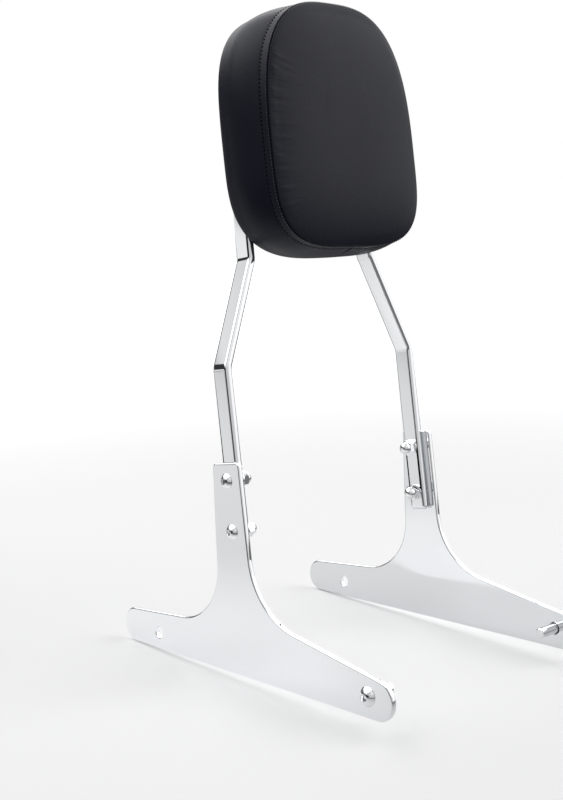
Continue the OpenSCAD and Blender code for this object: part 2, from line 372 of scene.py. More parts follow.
CHROME = Metal("polished_chrome", (0.80, 0.815, 0.83), 0.045, metallic=1.0, haze=0.02)
BRIGHT = Metal("chromed_screws", (0.78, 0.79, 0.80), 0.07, metallic=1.0, haze=0.03)
BLACK = Metal("black_zinc", (0.045, 0.046, 0.05), 0.34, metallic=0.7, haze=0.1)
ZINC = Metal("yellow_zinc", (0.66, 0.60, 0.40), 0.32, metallic=1.0, haze=0.15)
VINYL = Vinyl("black_vinyl", (0.0038, 0.0044, 0.0112), 0.42, specular=0.155)
# Gusset-row thread: real black thread, painted darker than the vinyl and nearly without sheen, as
# painted shade of the sunk stitch holes.
THREAD_PAINTED_SHADE = Finish("black_thread", (0.001, 0.001, 0.0015), 0.8, specular=0.05)
# Seam-row thread: the same black thread painted paler, a painted highlight along the seam, on top
# of its real gloss.
GLOSSY_THREAD_PAINTED_HIGHLIGHT = Finish("waxed_thread", (0.05, 0.05, 0.055), 0.35, specular=0.5)
BACKING = Pebbled("pebbled_back", (0.016, 0.016, 0.018), 0.55, specular=0.4)
BOARD = Plywood("plywood", (0.55, 0.40, 0.24), 0.6)
CUSHION = Foam("cushion_foam", (0.80, 0.74, 0.55), 0.9, specular=0.2)


def nothing_selected() -> None:
    """Leaves edit mode and deselects everything."""
    if bpy.context.object and bpy.context.object.mode != "OBJECT":
        bpy.ops.object.mode_set(mode="OBJECT")
    bpy.ops.object.select_all(action="DESELECT")


def take(piece: bpy.types.Object) -> bpy.types.Object:
    """Makes a piece the only selected and active object.

    Args:
        piece: the piece to take.

    Returns:
        The same piece.
    """
    nothing_selected()
    piece.select_set(True)
    bpy.context.view_layer.objects.active = piece
    return piece


def added(name: str) -> bpy.types.Object:
    """Names the primitive just added and freezes its place into its mesh.

    Args:
        name: name for the piece.

    Returns:
        The piece, at the origin.
    """
    piece = bpy.context.object
    piece.name = name
    bpy.ops.object.transform_apply(location=True, rotation=True, scale=True)
    return piece


def modify(piece: bpy.types.Object, kind: str, **settings: object) -> None:
    """Adds a modifier with its settings and applies it.

    Args:
        piece: the piece to change.
        kind: the modifier's type.
        settings: the modifier's attributes.
    """
    take(piece)
    modifier = piece.modifiers.new(kind.lower(), kind)
    for name, value in settings.items():
        setattr(modifier, name, value)
    bpy.ops.object.modifier_apply(modifier=modifier.name)


def edit(piece: bpy.types.Object, *steps: Callable[[], object]) -> None:
    """Runs operators in edit mode on everything in a piece.

    Args:
        piece: the piece to edit.
        steps: calls to run in order, with all of the mesh selected at the start.
    """
    take(piece)
    bpy.ops.object.mode_set(mode="EDIT")
    bpy.ops.mesh.select_all(action="SELECT")
    for step in steps:
        step()
    bpy.ops.object.mode_set(mode="OBJECT")


def copy_of(piece: bpy.types.Object, name: str) -> bpy.types.Object:
    """Copies a piece with a mesh of its own.

    Args:
        piece: the piece to copy.
        name: name for the copy.

    Returns:
        The copy, riding on nothing.
    """
    take(piece)
    bpy.ops.object.duplicate(linked=False)
    made = bpy.context.object
    made.name = name
    made.parent = None
    made.hide_render = False
    made.hide_viewport = False
    return made


def smooth(piece: bpy.types.Object, angle: float = 32.0) -> None:
    """Shades a piece smooth up to an angle in degrees."""
    take(piece)
    bpy.ops.object.shade_smooth_by_angle(angle=math.radians(angle))


def seat(piece: bpy.types.Object, material: bpy.types.Material,
         nodes: Iterable[str] = (), matrix: Matrix | None = None) -> bpy.types.Object:
    """Places a finished piece in the frame, hangs it on the body and hides the CAD nodes that it
    stands for.

    Args:
        piece: the finished piece.
        material: its material.
        nodes: CAD nodes that it stands for.
        matrix: brings its mesh to its place in metres; None where it is there already.

    Returns:
        The same piece.
    """
    if matrix is not None:
        piece.data.transform(matrix)
        if matrix.determinant() < 0:
            piece.data.flip_normals()
    piece.data.materials.clear()
    piece.data.materials.append(material)
    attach(piece, BODY)
    if nodes:
        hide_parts(*nodes)
    log.info("%s: %d faces", piece.name, len(piece.data.polygons))
    return piece


def join(pieces: Sequence[bpy.types.Object], name: str) -> bpy.types.Object:
    """Joins pieces into one.

    Args:
        pieces: what to join.
        name: name for the result.

    Returns:
        The joined piece.
    """
    nothing_selected()
    for piece in pieces:
        piece.select_set(True)
    bpy.context.view_layer.objects.active = pieces[0]
    bpy.ops.object.join()
    pieces[0].name = name
    return pieces[0]


def lathe(name: str, profile: Sequence[tuple[float, float]], steps: int = 64) -> bpy.types.Object:
    """Spins a profile of radius and height about the z axis.

    Args:
        name: name for the piece.
        profile: points from the axis out and back to it.
        steps: segments round.

    Returns:
        The closed solid of revolution.
    """
    nothing_selected()
    bpy.ops.mesh.primitive_plane_add(size=1.0, location=(0.0, 0.0, 0.0))
    piece = added(name)
    mesh = piece.data
    mesh.clear_geometry()
    mesh.from_pydata([(r, 0.0, z) for r, z in profile],
                     [(i, i + 1) for i in range(len(profile) - 1)], [])
    edit(piece,
         lambda: bpy.ops.mesh.spin(steps=steps, angle=2 * math.pi, center=(0, 0, 0),
                                   axis=(0, 0, 1)),
         lambda: bpy.ops.mesh.select_all(action="SELECT"),
         lambda: bpy.ops.mesh.remove_doubles(threshold=1e-4),
         lambda: bpy.ops.mesh.normals_make_consistent(inside=False))
    return piece


def arc_profile(centre: tuple[float, float], radius: float, start: float, end: float,
                steps: int) -> list[tuple[float, float]]:
    """Gives an arc's points in a profile, from start to end in degrees, both ends included."""
    angles = [math.radians(start + (end - start) * i / steps) for i in range(steps + 1)]
    return [(centre[0] + radius * math.cos(a), centre[1] + radius * math.sin(a)) for a in angles]


def mesh_form(piece: bpy.types.Object) -> bmesh.types.BMesh:
    """Gives the mesh of a piece in edit mode, ready for lookups by index.

    Args:
        piece: the piece being edited.

    Returns:
        Its mesh under edit.
    """
    form = bmesh.from_edit_mesh(piece.data)
    form.verts.ensure_lookup_table()
    return form


def points_of(piece: bpy.types.Object) -> np.ndarray:
    """Gives the points of a piece as rows."""
    return np.array([vert.co for vert in piece.data.vertices])


def along_run(at: float, run: np.ndarray, rows: np.ndarray) -> np.ndarray:
    """Interpolates rows by the running length of their line."""
    return np.array([np.interp(at, run, column) for column in rows.T])


@dataclass
class PlatedFrame:
    """The chromed pieces: upright, straps and sideplates, each with its edges rounded."""

    edge_round: dict[str, float] = field(default_factory=lambda: {
        "upright": 3.6, "pad_strap_lower": 0.8, "pad_strap_upper": 0.8,
        "sideplate_right": 1.6, "sideplate_left": 1.6})
    segments: int = 6

    def rounded(self, node: str, width: float) -> bpy.types.Object:
        """Copies a CAD node, merges its faces and rounds its edges.

        Args:
            node: the CAD node to follow.
            width: how far the rounding reaches, in mm.

        Returns:
            The rounded piece, in place.
        """
        piece = copy_of(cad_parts[node], "dressed_" + node)
        edit(piece,
             lambda: bpy.ops.mesh.remove_doubles(threshold=1e-6),
             lambda: bpy.ops.mesh.dissolve_limited(angle_limit=math.radians(0.5)),
             lambda: bpy.ops.mesh.customdata_custom_splitnormals_clear())
        modify(piece, "BEVEL", width=width * MM, segments=self.segments, limit_method="ANGLE",
               angle_limit=math.radians(40.0), profile=0.5, harden_normals=False,
               loop_slide=False, use_clamp_overlap=False)
        smooth(piece, 30.0)
        modify(piece, "WEIGHTED_NORMAL", keep_sharp=True, weight=50)
        return piece

    def build(self) -> None:
        """Makes and seats all the plated pieces."""
        chrome = CHROME.material()
        for node, width in self.edge_round.items():
            seat(self.rounded(node, width), chrome, (node,))


@dataclass
class ButtonScrew:
    """A button-head screw with a hex socket, seated at the origin with its shank along -z."""

    shank: float
    length: float
    head_width: float = 1.75
    head_height: float = 0.55
    socket_width: float = 0.62
    socket_floor: float = 0.4
    dome_stop: float = 0.25
    shoulder: float = 0.3
    seat_edge: float = 0.12
    tip_chamfer: float = 0.8
    edge_soft: float = 0.16

    def profile(self) -> list[tuple[float, float]]:
        """Gives the half section, from the dome's pole to the shank's tip.

        Returns:
            Its points of radius and height.
        """
        head = self.head_width * self.shank / 2
        rise = self.head_height * self.shank
        ball = (head * head + rise * rise) / (2 * rise)
        rim = math.degrees(math.asin((head - self.dome_stop) / ball))
        dome = arc_profile((0.0, rise - ball), ball, 90.0, 90.0 - rim, 14)
        edge = [(head, dome[-1][1] - self.shoulder), (head, self.seat_edge),
                (head - self.seat_edge, 0.0)]
        shank = self.shank / 2
        neck = [(shank + self.shoulder, 0.0), (shank, -self.shoulder)]
        tip = [(shank, -self.length + self.tip_chamfer),
               (shank - self.tip_chamfer, -self.length), (0.0, -self.length)]
        return dome + edge + neck + tip

    def model(self, name: str) -> bpy.types.Object:
        """Spins the screw and cuts its socket.

        Args:
            name: name for the piece.

        Returns:
            The screw, in mm at the origin.
        """
        piece = lathe(name, self.profile())
        rise = self.head_height * self.shank
        nothing_selected()
        bpy.ops.mesh.primitive_cylinder_add(
            vertices=6, radius=self.socket_width * self.shank / 2 / math.cos(math.radians(30)),
            depth=rise, location=(0.0, 0.0, rise * (self.socket_floor + 0.5)))
        key = added("socket_key")
        modify(piece, "BOOLEAN", operation="DIFFERENCE", object=key, solver="EXACT")
        bpy.data.objects.remove(key)
        modify(piece, "BEVEL", width=self.edge_soft, segments=2, limit_method="ANGLE",
               angle_limit=math.radians(50.0))
        smooth(piece, 35.0)
        return piece


@dataclass
class AcornNut:
    """A domed hex nut standing on the origin."""

    shank: float
    across_flats: float = 1.62
    flat_height: float = 0.8
    dome_width: float = 1.52
    chamfer_in: float = 0.2
    chamfer_rise: float = 0.75
    cone_past: float = 0.3
    cutter_past: float = 0.01
    dome_sink: float = 0.05
    dome_skirt: float = 0.4

    def model(self, name: str) -> bpy.types.Object:
        """Cuts the hex with a cone, as nuts are chamfered, and adds the dome.

        Args:
            name: name for the piece.

        Returns:
            The nut, in mm at the origin.
        """
        corner = self.across_flats * self.shank / 2 / math.cos(math.radians(30))
        flat = self.across_flats * self.shank / 2
        height = self.flat_height * self.shank
        dome = self.dome_width * self.shank / 2
        nothing_selected()
        bpy.ops.mesh.primitive_cylinder_add(vertices=6, radius=corner, depth=height,
                                            location=(0.0, 0.0, height / 2))
        piece = added(name)
        inner, outer, past = flat - self.chamfer_in, corner + self.cone_past, self.cutter_past
        cutter = lathe("nut_chamfer", [
            (0.0, -past), (inner, -past), (outer, self.chamfer_rise),
            (outer, height - self.chamfer_rise), (inner, height + past), (0.0, height + past)])
        modify(piece, "BOOLEAN", operation="INTERSECT", object=cutter, solver="EXACT")
        bpy.data.objects.remove(cutter)
        skirt = height - self.dome_skirt
        cap = lathe("nut_dome", arc_profile((0.0, height - self.dome_sink), dome, 90.0, 0.0, 16)
                    + [(dome, skirt), (0.0, skirt)])
        whole = join([piece, cap], name)
        smooth(whole, 30.0)
        return whole


@dataclass
class Washer:
    """A flat washer standing on the origin."""

    outer: float
    bore: float
    thick: float = 1.6
    soft: float = 0.25

    def model(self, name: str) -> bpy.types.Object:
        """Spins the washer's section.

        Args:
            name: name for the piece.

        Returns:
            The washer, in mm at the origin.
        """
        inner, outer, top, soft = self.bore, self.outer, self.thick, self.soft
        piece = lathe(name, [
            (inner, soft), (inner + soft, 0.0), (outer - soft, 0.0), (outer, soft),
            (outer, top - soft), (outer - soft, top), (inner + soft, top), (inner, top - soft),
            (inner, soft)])
        smooth(piece, 30.0)
        return piece


@dataclass
class Hardware:
    """The screws, washers and nuts: each kind modelled once and copied to its places."""

    plate_outer: float = 128.0
    nut_seat: float = 113.4
    screw_heights: dict[str, float] = field(default_factory=lambda: {"lower": 0.0, "upper": 45.0})
    front_hole: tuple[float, float] = (-146.5, -128.5)
    upright_shank: float = 8.0
    upright_length: float = 22.6
    strut_shank: float = 9.5
    strut_length: float = 27.0
    pad_shank: float = 6.0
    pad_length: float = 16.6
    strap_back: float = -6.0
    washer_thick: float = 1.6
    pad_screw_x: float = 35.0
    pad_screw_z: tuple[float, float] = (278.0, 368.0)
    bore_play: float = 0.4
    turns: tuple[float, ...] = (12.0, 41.0, 25.0, 3.0, 33.0, 52.0, 8.0, 19.0, 47.0, 29.0)

    def outward(self, side: Side, x: float, y: float, z: float, flip: bool, spin: float) -> Matrix:
        """Stands a fastener with its axis along x.

        Args:
            side: which side of the bar.
            x: distance of its seat from the middle.
            y: place rearwards.
            z: place up the lean.
            flip: True to point it inwards.
            spin: turn about its own axis in degrees.

        Returns:
            The placing matrix.
        """
        turn = -90.0 if (side is Side.RIGHT) != flip else 90.0
        return (PLACE @ Matrix.Translation((side.value * x, y, z))
                @ Matrix.Rotation(math.radians(turn), 4, "Y")
                @ Matrix.Rotation(math.radians(spin), 4, "Z"))

    def build(self) -> None:
        """Models each fastener once and seats its copies."""
        bright = BRIGHT.material()
        turns = iter(self.turns)
        plans = {
            "upright_screw": ButtonScrew(self.upright_shank, self.upright_length),
            "upright_washer": Washer(self.upright_shank, self.upright_shank / 2 + self.bore_play),
            "acorn_nut": AcornNut(self.upright_shank),
            "strut_screw": ButtonScrew(self.strut_shank, self.strut_length)}
        masters = {kind: plan.model(kind) for kind, plan in plans.items()}
        stack = (("upright_screw", self.plate_outer, False),
                 ("upright_washer", self.nut_seat, False), ("acorn_nut", self.nut_seat, True))
        for side in Side:
            word = side.name.lower()
            placed = []
            for level, z in self.screw_heights.items():
                spin = next(turns)
                for kind, x, flip in stack:
                    placed.append((kind, f"{kind}_{word}_{level}",
                                   self.outward(side, x, 0.0, z, flip, spin)))
            placed.append(("strut_screw", "strut_screw_" + word, self.outward(
                side, self.plate_outer, *self.front_hole, False, next(turns))))
            for kind, node, matrix in placed:
                seat(copy_of(masters[kind], "dressed_" + node), bright,
                     (node,), matrix)
        self.build_pad_screws(BLACK.material())
        for master in masters.values():
            bpy.data.objects.remove(master)

    def build_pad_screws(self, black: bpy.types.Material) -> None:
        """Seats the four pad screws with their washers, which face rearwards.

        Args:
            black: the material of both.
        """
        screw = ButtonScrew(self.pad_shank, self.pad_length).model("pad_screw")
        washer = Washer(self.pad_shank, self.pad_shank / 2 + self.bore_play,
                        self.washer_thick).model("pad_washer")
        for master, node, rise in ((screw, "pad_screws", self.washer_thick),
                                   (washer, "pad_screw_washers", 0.0)):
            made = []
            for x in (-self.pad_screw_x, self.pad_screw_x):
                for z in self.pad_screw_z:
                    piece = copy_of(master, master.name + "_copy")
                    piece.data.transform(
                        PLACE @ Matrix.Translation((x, self.strap_back, z))
                        @ Matrix.Rotation(-math.pi / 2, 4, "X") @ Matrix.Translation((0, 0, rise))
                        @ Matrix.Rotation(math.radians(x + z), 4, "Z"))
                    made.append(piece)
            seat(join(made, "dressed_" + node), black, (node,))
            bpy.data.objects.remove(master)


@dataclass(frozen=True)
class StitchRow:
    """A row of stitches: its thread, its sizes in mm and how it lies beside its ring."""

    name: str
    ring: str
    thread: Finish
    length: float
    radius: float
    pitch: float
    rise: float
    setback: float = 0.0
    droop: float = 1.5
    narrowing: float = 0.35


@dataclass
class BackrestPad:
    """The sewn cover of the pad: gusset, front panel, seams and stitching."""

    half_width: float = 91.5
    base: float = 240.5
    belly: float = 82.0
    belly_rise: float = 3.0
    height: float = 219.0
    side_flare: float = 11.5
    bottom_flare: float = 4.5
    top_fall: float = 4.0
    top_powers: tuple[float, float] = (2.9, 3.6)
    bottom_powers: tuple[float, float] = (3.6, 3.0)
    back: float = -10.0
    seam_depth: float = 53.5
    stitch_depth: float = 46.5
    around: int = 168
    fine_steps: int = 7200
    gusset: tuple[tuple[float, float, float], ...] = (
        (8.6, 0.4, 1.0), (6.2, 0.0, 1.0), (3.6, 0.1, 1.0), (1.6, 1.4, 1.0), (0.7, 4.0, 1.0),
        (0.2, 8.0, 1.0), (0.0, 13.0, 1.0), (-0.6, 18.0, 0.98), (-1.5, 23.0, 0.86),
        (-2.0, 28.0, 0.71), (-2.0, 33.0, 0.56), (-1.6, 38.0, 0.41), (-0.8, 43.0, 0.275),
        (-0.3, 45.4, 0.21), (0.25, 46.5, 0.18), (-0.05, 47.6, 0.15), (-0.05, 50.0, 0.09),
        (-0.1, 52.2, 0.035))
    front: tuple[tuple[float, float], ...] = (
        (1.2, 1.0), (4.0, 1.9), (8.5, 3.0), (15.0, 4.25), (23.0, 5.4), (32.0, 6.3), (41.0, 6.9),
        (49.0, 7.25), (56.0, 7.44), (62.0, 7.56))
    middle_rise: float = 0.2
    hem_turn: float = 2.4
    hem_band: float = 3.0
    held_rings: int = 5
    cloth: dict[str, float] = field(default_factory=lambda: {
        "quality": 6, "mass": 0.3, "tension_stiffness": 18.0, "compression_stiffness": 18.0,
        "shear_stiffness": 8.0, "bending_stiffness": 1.2, "use_pressure": True,
        "uniform_pressure_force": 3.0, "pin_stiffness": 1.0})
    cloth_frames: int = 20
    swell_cap: float = 1.4
    evening: int = 240
    channel_half: float = 0.75
    channel_depth: float = 2.2
    middle_share: float = 0.45
    seed: int = 41
    crease_count: int = 44
    crease_spans: tuple[tuple[float, float], ...] = (
        (0.64, 0.86), (8.0, 22.0), (0.3, 0.6), (-0.05, 0.05), (0.08, 0.28))
    crease_peak: float = 5.0
    crease_clear: tuple[float, float] = (1.5, 4.0)
    wave_count: int = 5
    wave_height: float = 0.16
    wave_bend: tuple[float, float] = (0.03, 0.07)
    wave_calm: tuple[float, float] = (3.0, 10.0)
    calm_hem: float = 2.0
    # The seam row's thread carries a painted highlight. The gusset row's thread carries a painted
    # shade.
    rows: tuple[StitchRow, ...] = (
        StitchRow("seam_stitches", "seam", GLOSSY_THREAD_PAINTED_HIGHLIGHT, 1.4, 0.36, 2.8, -0.42, setback=1.2),
        StitchRow("gusset_stitches", "stitch", THREAD_PAINTED_SHADE, 2.3, 0.75, 3.6, 0.3))
    angles: list[float] = field(default_factory=list)
    ring_of: dict[str, int] = field(default_factory=dict)

    def outline(self, angle: float, inset: float, share: float) -> tuple[float, float]:
        """Gives one point of the pad's outline.

        Args:
            angle: the outline's parameter in radians.
            inset: how far it is drawn in, in mm.
            share: 0 for the front panel's outline, 1 for the back's.

        Returns:
            The point's x and z.
        """
        c, s = math.cos(angle), math.sin(angle)
        low, high = self.bottom_powers if s < 0 else self.top_powers
        power = low + share * (high - low)
        belly = self.belly + share * self.belly_rise
        height = self.height + share * (self.bottom_flare - self.top_fall)
        reach = belly if s < 0 else height - belly
        half = self.half_width + share * self.side_flare
        x = math.copysign((half - inset) * abs(c) ** (2 / power), c)
        z = self.base - share * self.bottom_flare + belly \
            + math.copysign((reach - inset) * abs(s) ** (2 / power), s)
        return x, z

    def even_angles(self) -> list[float]:
        """Spaces the outline's parameters evenly round it, from its lowest point.

        Returns:
            The parameters in radians, one for each point of a ring.
        """
        start = -math.pi / 2
        fine = [start + 2 * math.pi * i / self.fine_steps for i in range(self.fine_steps + 1)]
        points = np.array([self.outline(a, 0.0, 0.0) for a in fine])
        length = np.concatenate([[0.0], np.cumsum(np.hypot(*np.diff(points, axis=0).T))])
        wanted = np.linspace(0.0, length[-1], self.around, endpoint=False)
        return list(np.interp(wanted, length, fine))

    def rings(self) -> list[tuple[float, float, float]]:
        """Lists the rings from the hem to the middle of the front and notes the sewn ones.

        Returns:
            Each ring's inset, its depth from the back and its share of the back's outline.
        """
        whole = list(self.gusset) + [(0.0, self.seam_depth, 0.0)]
        whole += [(inset, self.seam_depth + rise, 0.0) for inset, rise in self.front]
        self.ring_of = {"seam": len(self.gusset),
                        "stitch": [ring[1] for ring in self.gusset].index(self.stitch_depth)}
        return whole

    def ring_points(self, inset: float, depth: float, share: float) -> list[Vector]:
        """Gives the points of one ring, in the leaning frame."""
        flat = (self.outline(angle, inset, share) for angle in self.angles)
        return [Vector((x, self.back - depth, z)) for x, z in flat]

    def shell(self) -> bpy.types.Object:
        """Extrudes the cover ring by ring from its hem and closes both ends.

        Returns:
            The closed cover in mm, ring after ring in its vertex order.
        """
        self.angles = self.even_angles()
        rings = self.rings()
        nothing_selected()
        bpy.ops.mesh.primitive_circle_add(vertices=self.around, radius=1.0, fill_type="NOTHING")
        piece = added("pad_cover")
        bpy.ops.object.mode_set(mode="EDIT")
        for index, ring in enumerate(rings):
            if index:
                bpy.ops.mesh.extrude_edges_move()
            form = mesh_form(piece)
            start = index * self.around
            for vert, point in zip(form.verts[start:start + self.around], self.ring_points(*ring)):
                vert.co = point
            bmesh.update_edit_mesh(piece.data)
        bpy.ops.mesh.fill_grid(span=self.around // 4, offset=0)
        self.crown_middle(piece, len(rings) * self.around)
        self.close_back(piece)
        return piece

    def crown_middle(self, piece: bpy.types.Object, start: int) -> None:
        """Carries the crown on over the middle of the front panel.

        Args:
            piece: the cover, in edit mode.
            start: index of the first point of the middle.
        """
        inset = self.front[-1][0]
        top = self.outline(math.pi / 2, inset, 0.0)[1]
        low = self.outline(-math.pi / 2, inset, 0.0)[1]
        middle, tall, wide = (top + low) / 2, (top - low) / 2, self.half_width - inset
        form = mesh_form(piece)
        for vert in form.verts[start:]:
            away = abs(vert.co.x / wide) ** 3 + abs((vert.co.z - middle) / tall) ** 3
            vert.co.y -= self.middle_rise * max(0.0, 1.0 - away)
        bmesh.update_edit_mesh(piece.data)

    def close_back(self, piece: bpy.types.Object) -> None:
        """Turns the hem in and closes the cover behind it, ahead of the back cover's face.

        Args:
            piece: the cover, in edit mode.
        """
        bpy.ops.mesh.select_all(action="DESELECT")
        form = mesh_form(piece)
        for edge in form.edges:
            if max(vert.index for vert in edge.verts) < self.around:
                edge.select_set(True)
        bmesh.update_edit_mesh(piece.data)
        bpy.ops.mesh.extrude_edges_move(
            TRANSFORM_OT_translate={"value": (0.0, -self.hem_turn, 0.0)})
        bpy.ops.mesh.edge_face_add()
        bpy.ops.mesh.select_all(action="SELECT")
        bpy.ops.mesh.normals_make_consistent(inside=False)
        bpy.ops.object.mode_set(mode="OBJECT")

    def inflate(self, piece: bpy.types.Object) -> None:
        """Swells the cover between its seams by a cloth simulation under pressure.

        Args:
            piece: the cover, in mm.
        """
        pinned = list(range(self.held_rings * self.around))
        for ring in (self.ring_of["stitch"], self.ring_of["seam"]):
            pinned += range(ring * self.around, (ring + 1) * self.around)
        hem = self.back - self.hem_band
        pinned += [vert.index for vert in piece.data.vertices if vert.co.y > hem]
        held = piece.vertex_groups.new(name="held")
        held.add(sorted(set(pinned)), 1.0, "REPLACE")
        before = points_of(piece)
        piece.data.transform(Matrix.Scale(MM, 4))
        take(piece)
        cloth = piece.modifiers.new("cloth", "CLOTH")
        for name, value in self.cloth.items():
            setattr(cloth.settings, name, value)
        cloth.settings.vertex_group_mass = held.name
        cloth.settings.effector_weights.gravity = 0.0
        cloth.collision_settings.use_collision = False
        for number in range(1, self.cloth_frames + 1):
            bpy.context.scene.frame_set(number)
        bpy.ops.object.modifier_apply(modifier=cloth.name)
        bpy.context.scene.frame_set(1)
        piece.data.transform(Matrix.Scale(1 / MM, 4))
        moved = self.evened(piece, before, points_of(piece) - before, pinned)
        far = np.linalg.norm(moved, axis=1)
        log.info("cover moved up to %.1f mm", float(far.max()))
        kept = self.swell_cap * np.tanh(far / self.swell_cap) / np.maximum(far, 1e-9)
        after = before + moved * np.where(far > 0, kept, 0)[:, None]
        piece.data.vertices.foreach_set("co", after.ravel())
        piece.data.update()
        piece.vertex_groups.clear()

    def evened(self, piece: bpy.types.Object, places: np.ndarray, moved: np.ndarray,
               pinned: Sequence[int]) -> np.ndarray:
        """Spreads a movement over neighbouring points, so that a taut cover keeps no folds.

        Args:
            piece: the cover.
            places: where its points were before they moved.
            moved: how far each point moved.
            pinned: points that stay where they are.

        Returns:
            The evened movement.
        """
        ends = np.array([edge.vertices[:] for edge in piece.data.edges])
        weight = 1.0 / np.linalg.norm(places[ends[:, 0]] - places[ends[:, 1]], axis=1)
        whole = np.bincount(ends.ravel(), np.repeat(weight, 2), len(moved))[:, None]
        for _ in range(self.evening):
            total = np.zeros_like(moved)
            np.add.at(total, ends[:, 0], moved[ends[:, 1]] * weight[:, None])
            np.add.at(total, ends[:, 1], moved[ends[:, 0]] * weight[:, None])
            moved = (moved + total / whole) / 2
            moved[pinned] = 0.0
        return moved

    def groove(self, piece: bpy.types.Object) -> None:
        """Splits the seams' edges into a narrow channel and pushes its middle in.

        Args:
            piece: the cover.
        """
        take(piece)
        bpy.ops.object.mode_set(mode="EDIT")
        bpy.ops.mesh.select_mode(type="EDGE")
        bpy.ops.mesh.select_all(action="DESELECT")
        form = mesh_form(piece)
        marks = [edge for edge in form.edges if self.on_seam(edge)]
        middle = {vert.index: (vert.co.copy(), vert.normal.copy())
                  for edge in marks for vert in edge.verts}
        for edge in marks:
            edge.select_set(True)
        bmesh.update_edit_mesh(piece.data)
        bpy.ops.mesh.bevel(offset=self.channel_half, segments=2, affect="EDGES", profile=0.5)
        bpy.ops.object.mode_set(mode="OBJECT")
        seats, ways = (np.array(rows) for rows in zip(*middle.values()))
        for vert in piece.data.vertices:
            gap = np.linalg.norm(seats - np.array(vert.co), axis=1)
            near = int(gap.argmin())
            if gap[near] < self.channel_half * self.middle_share:
                vert.co = Vector(seats[near] - ways[near] * self.channel_depth)
        piece.data.update()

    def on_seam(self, edge: bmesh.types.BMEdge) -> bool:
        """Says whether an edge lies along the seam or along the gusset's join below.

        Args:
            edge: an edge of the cover.

        Returns:
            True where it does.
        """
        seam = self.ring_of["seam"]
        rings = [vert.index // self.around for vert in edge.verts]
        places = [vert.index % self.around for vert in edge.verts]
        joined = places == [0, 0] and 2 <= min(rings) and max(rings) <= seam
        return joined or rings == [seam, seam]

    def stitch_line(self, piece: bpy.types.Object,
                    row: StitchRow) -> tuple[np.ndarray, np.ndarray]:
        """Takes a row's closed line along its ring before the channels renumber the mesh.

        Args:
            piece: the cover.
            row: the row of stitches.

        Returns:
            The line's points and its outward normals.
        """
        coords = points_of(piece)
        ring = self.ring_of[row.ring]
        behind, line, ahead = (coords[k * self.around:(k + 1) * self.around]
                               for k in (ring - 1, ring, ring + 1))
        along = np.roll(line, -1, axis=0) - np.roll(line, 1, axis=0)
        forward = ahead - behind
        normal = np.cross(along, forward)
        normal /= np.linalg.norm(normal, axis=1)[:, None]
        if ((line - line.mean(axis=0)) * normal).sum() < 0:
            normal = -normal
        forward /= np.linalg.norm(forward, axis=1)[:, None]
        return line - forward * row.setback + normal * row.rise, normal

    def stitches(self, row: StitchRow, line: np.ndarray, normal: np.ndarray) -> bpy.types.Object:
        """Sews a row of stitches along a closed line.

        Args:
            row: the row's sizes and thread.
            line: the line's points.
            normal: outward directions at the points.

        Returns:
            The row as one piece, seated.
        """
        nothing_selected()
        bpy.ops.mesh.primitive_cylinder_add(vertices=6, radius=row.radius, depth=row.length * 0.5,
                                            rotation=(0.0, math.pi / 2, 0.0))
        master = added(row.name + "_stitch")
        edit(master,
             lambda: bpy.ops.mesh.subdivide(number_cuts=1),
             lambda: bpy.ops.mesh.select_all(action="DESELECT"))
        for vert in master.data.vertices:
            share = abs(vert.co.x) / (row.length * 0.25)
            vert.co.x = math.copysign(row.length / 2 * share, vert.co.x)
            vert.co.z -= row.radius * row.droop * share ** 2
            vert.co.y *= 1.0 - row.narrowing * share ** 2
        closed, turns = np.vstack([line, line[:1]]), np.vstack([normal, normal[:1]])
        span = np.linalg.norm(np.diff(closed, axis=0), axis=1)
        run = np.concatenate([[0.0], np.cumsum(span)])
        whole = run[-1]
        count = int(whole / row.pitch)
        copies = []
        for index in range(count):
            at = whole * index / count
            place = along_run(at, run, closed)
            x_axis = Vector(along_run((at + 0.5) % whole, run, closed) - place).normalized()
            z_axis = Vector(along_run(at, run, turns)).normalized()
            y_axis = z_axis.cross(x_axis).normalized()
            z_axis = x_axis.cross(y_axis)
            turn = Matrix((x_axis, y_axis, z_axis)).transposed().to_4x4()
            made = master.copy()
            made.data = master.data.copy()
            bpy.context.scene.collection.objects.link(made)
            made.data.transform(Matrix.Translation(Vector(place)) @ turn)
            copies.append(made)
        bpy.data.objects.remove(master)
        sewn = join(copies, row.name)
        smooth(sewn, 60.0)
        return seat(sewn, row.thread.material(), (), PLACE)

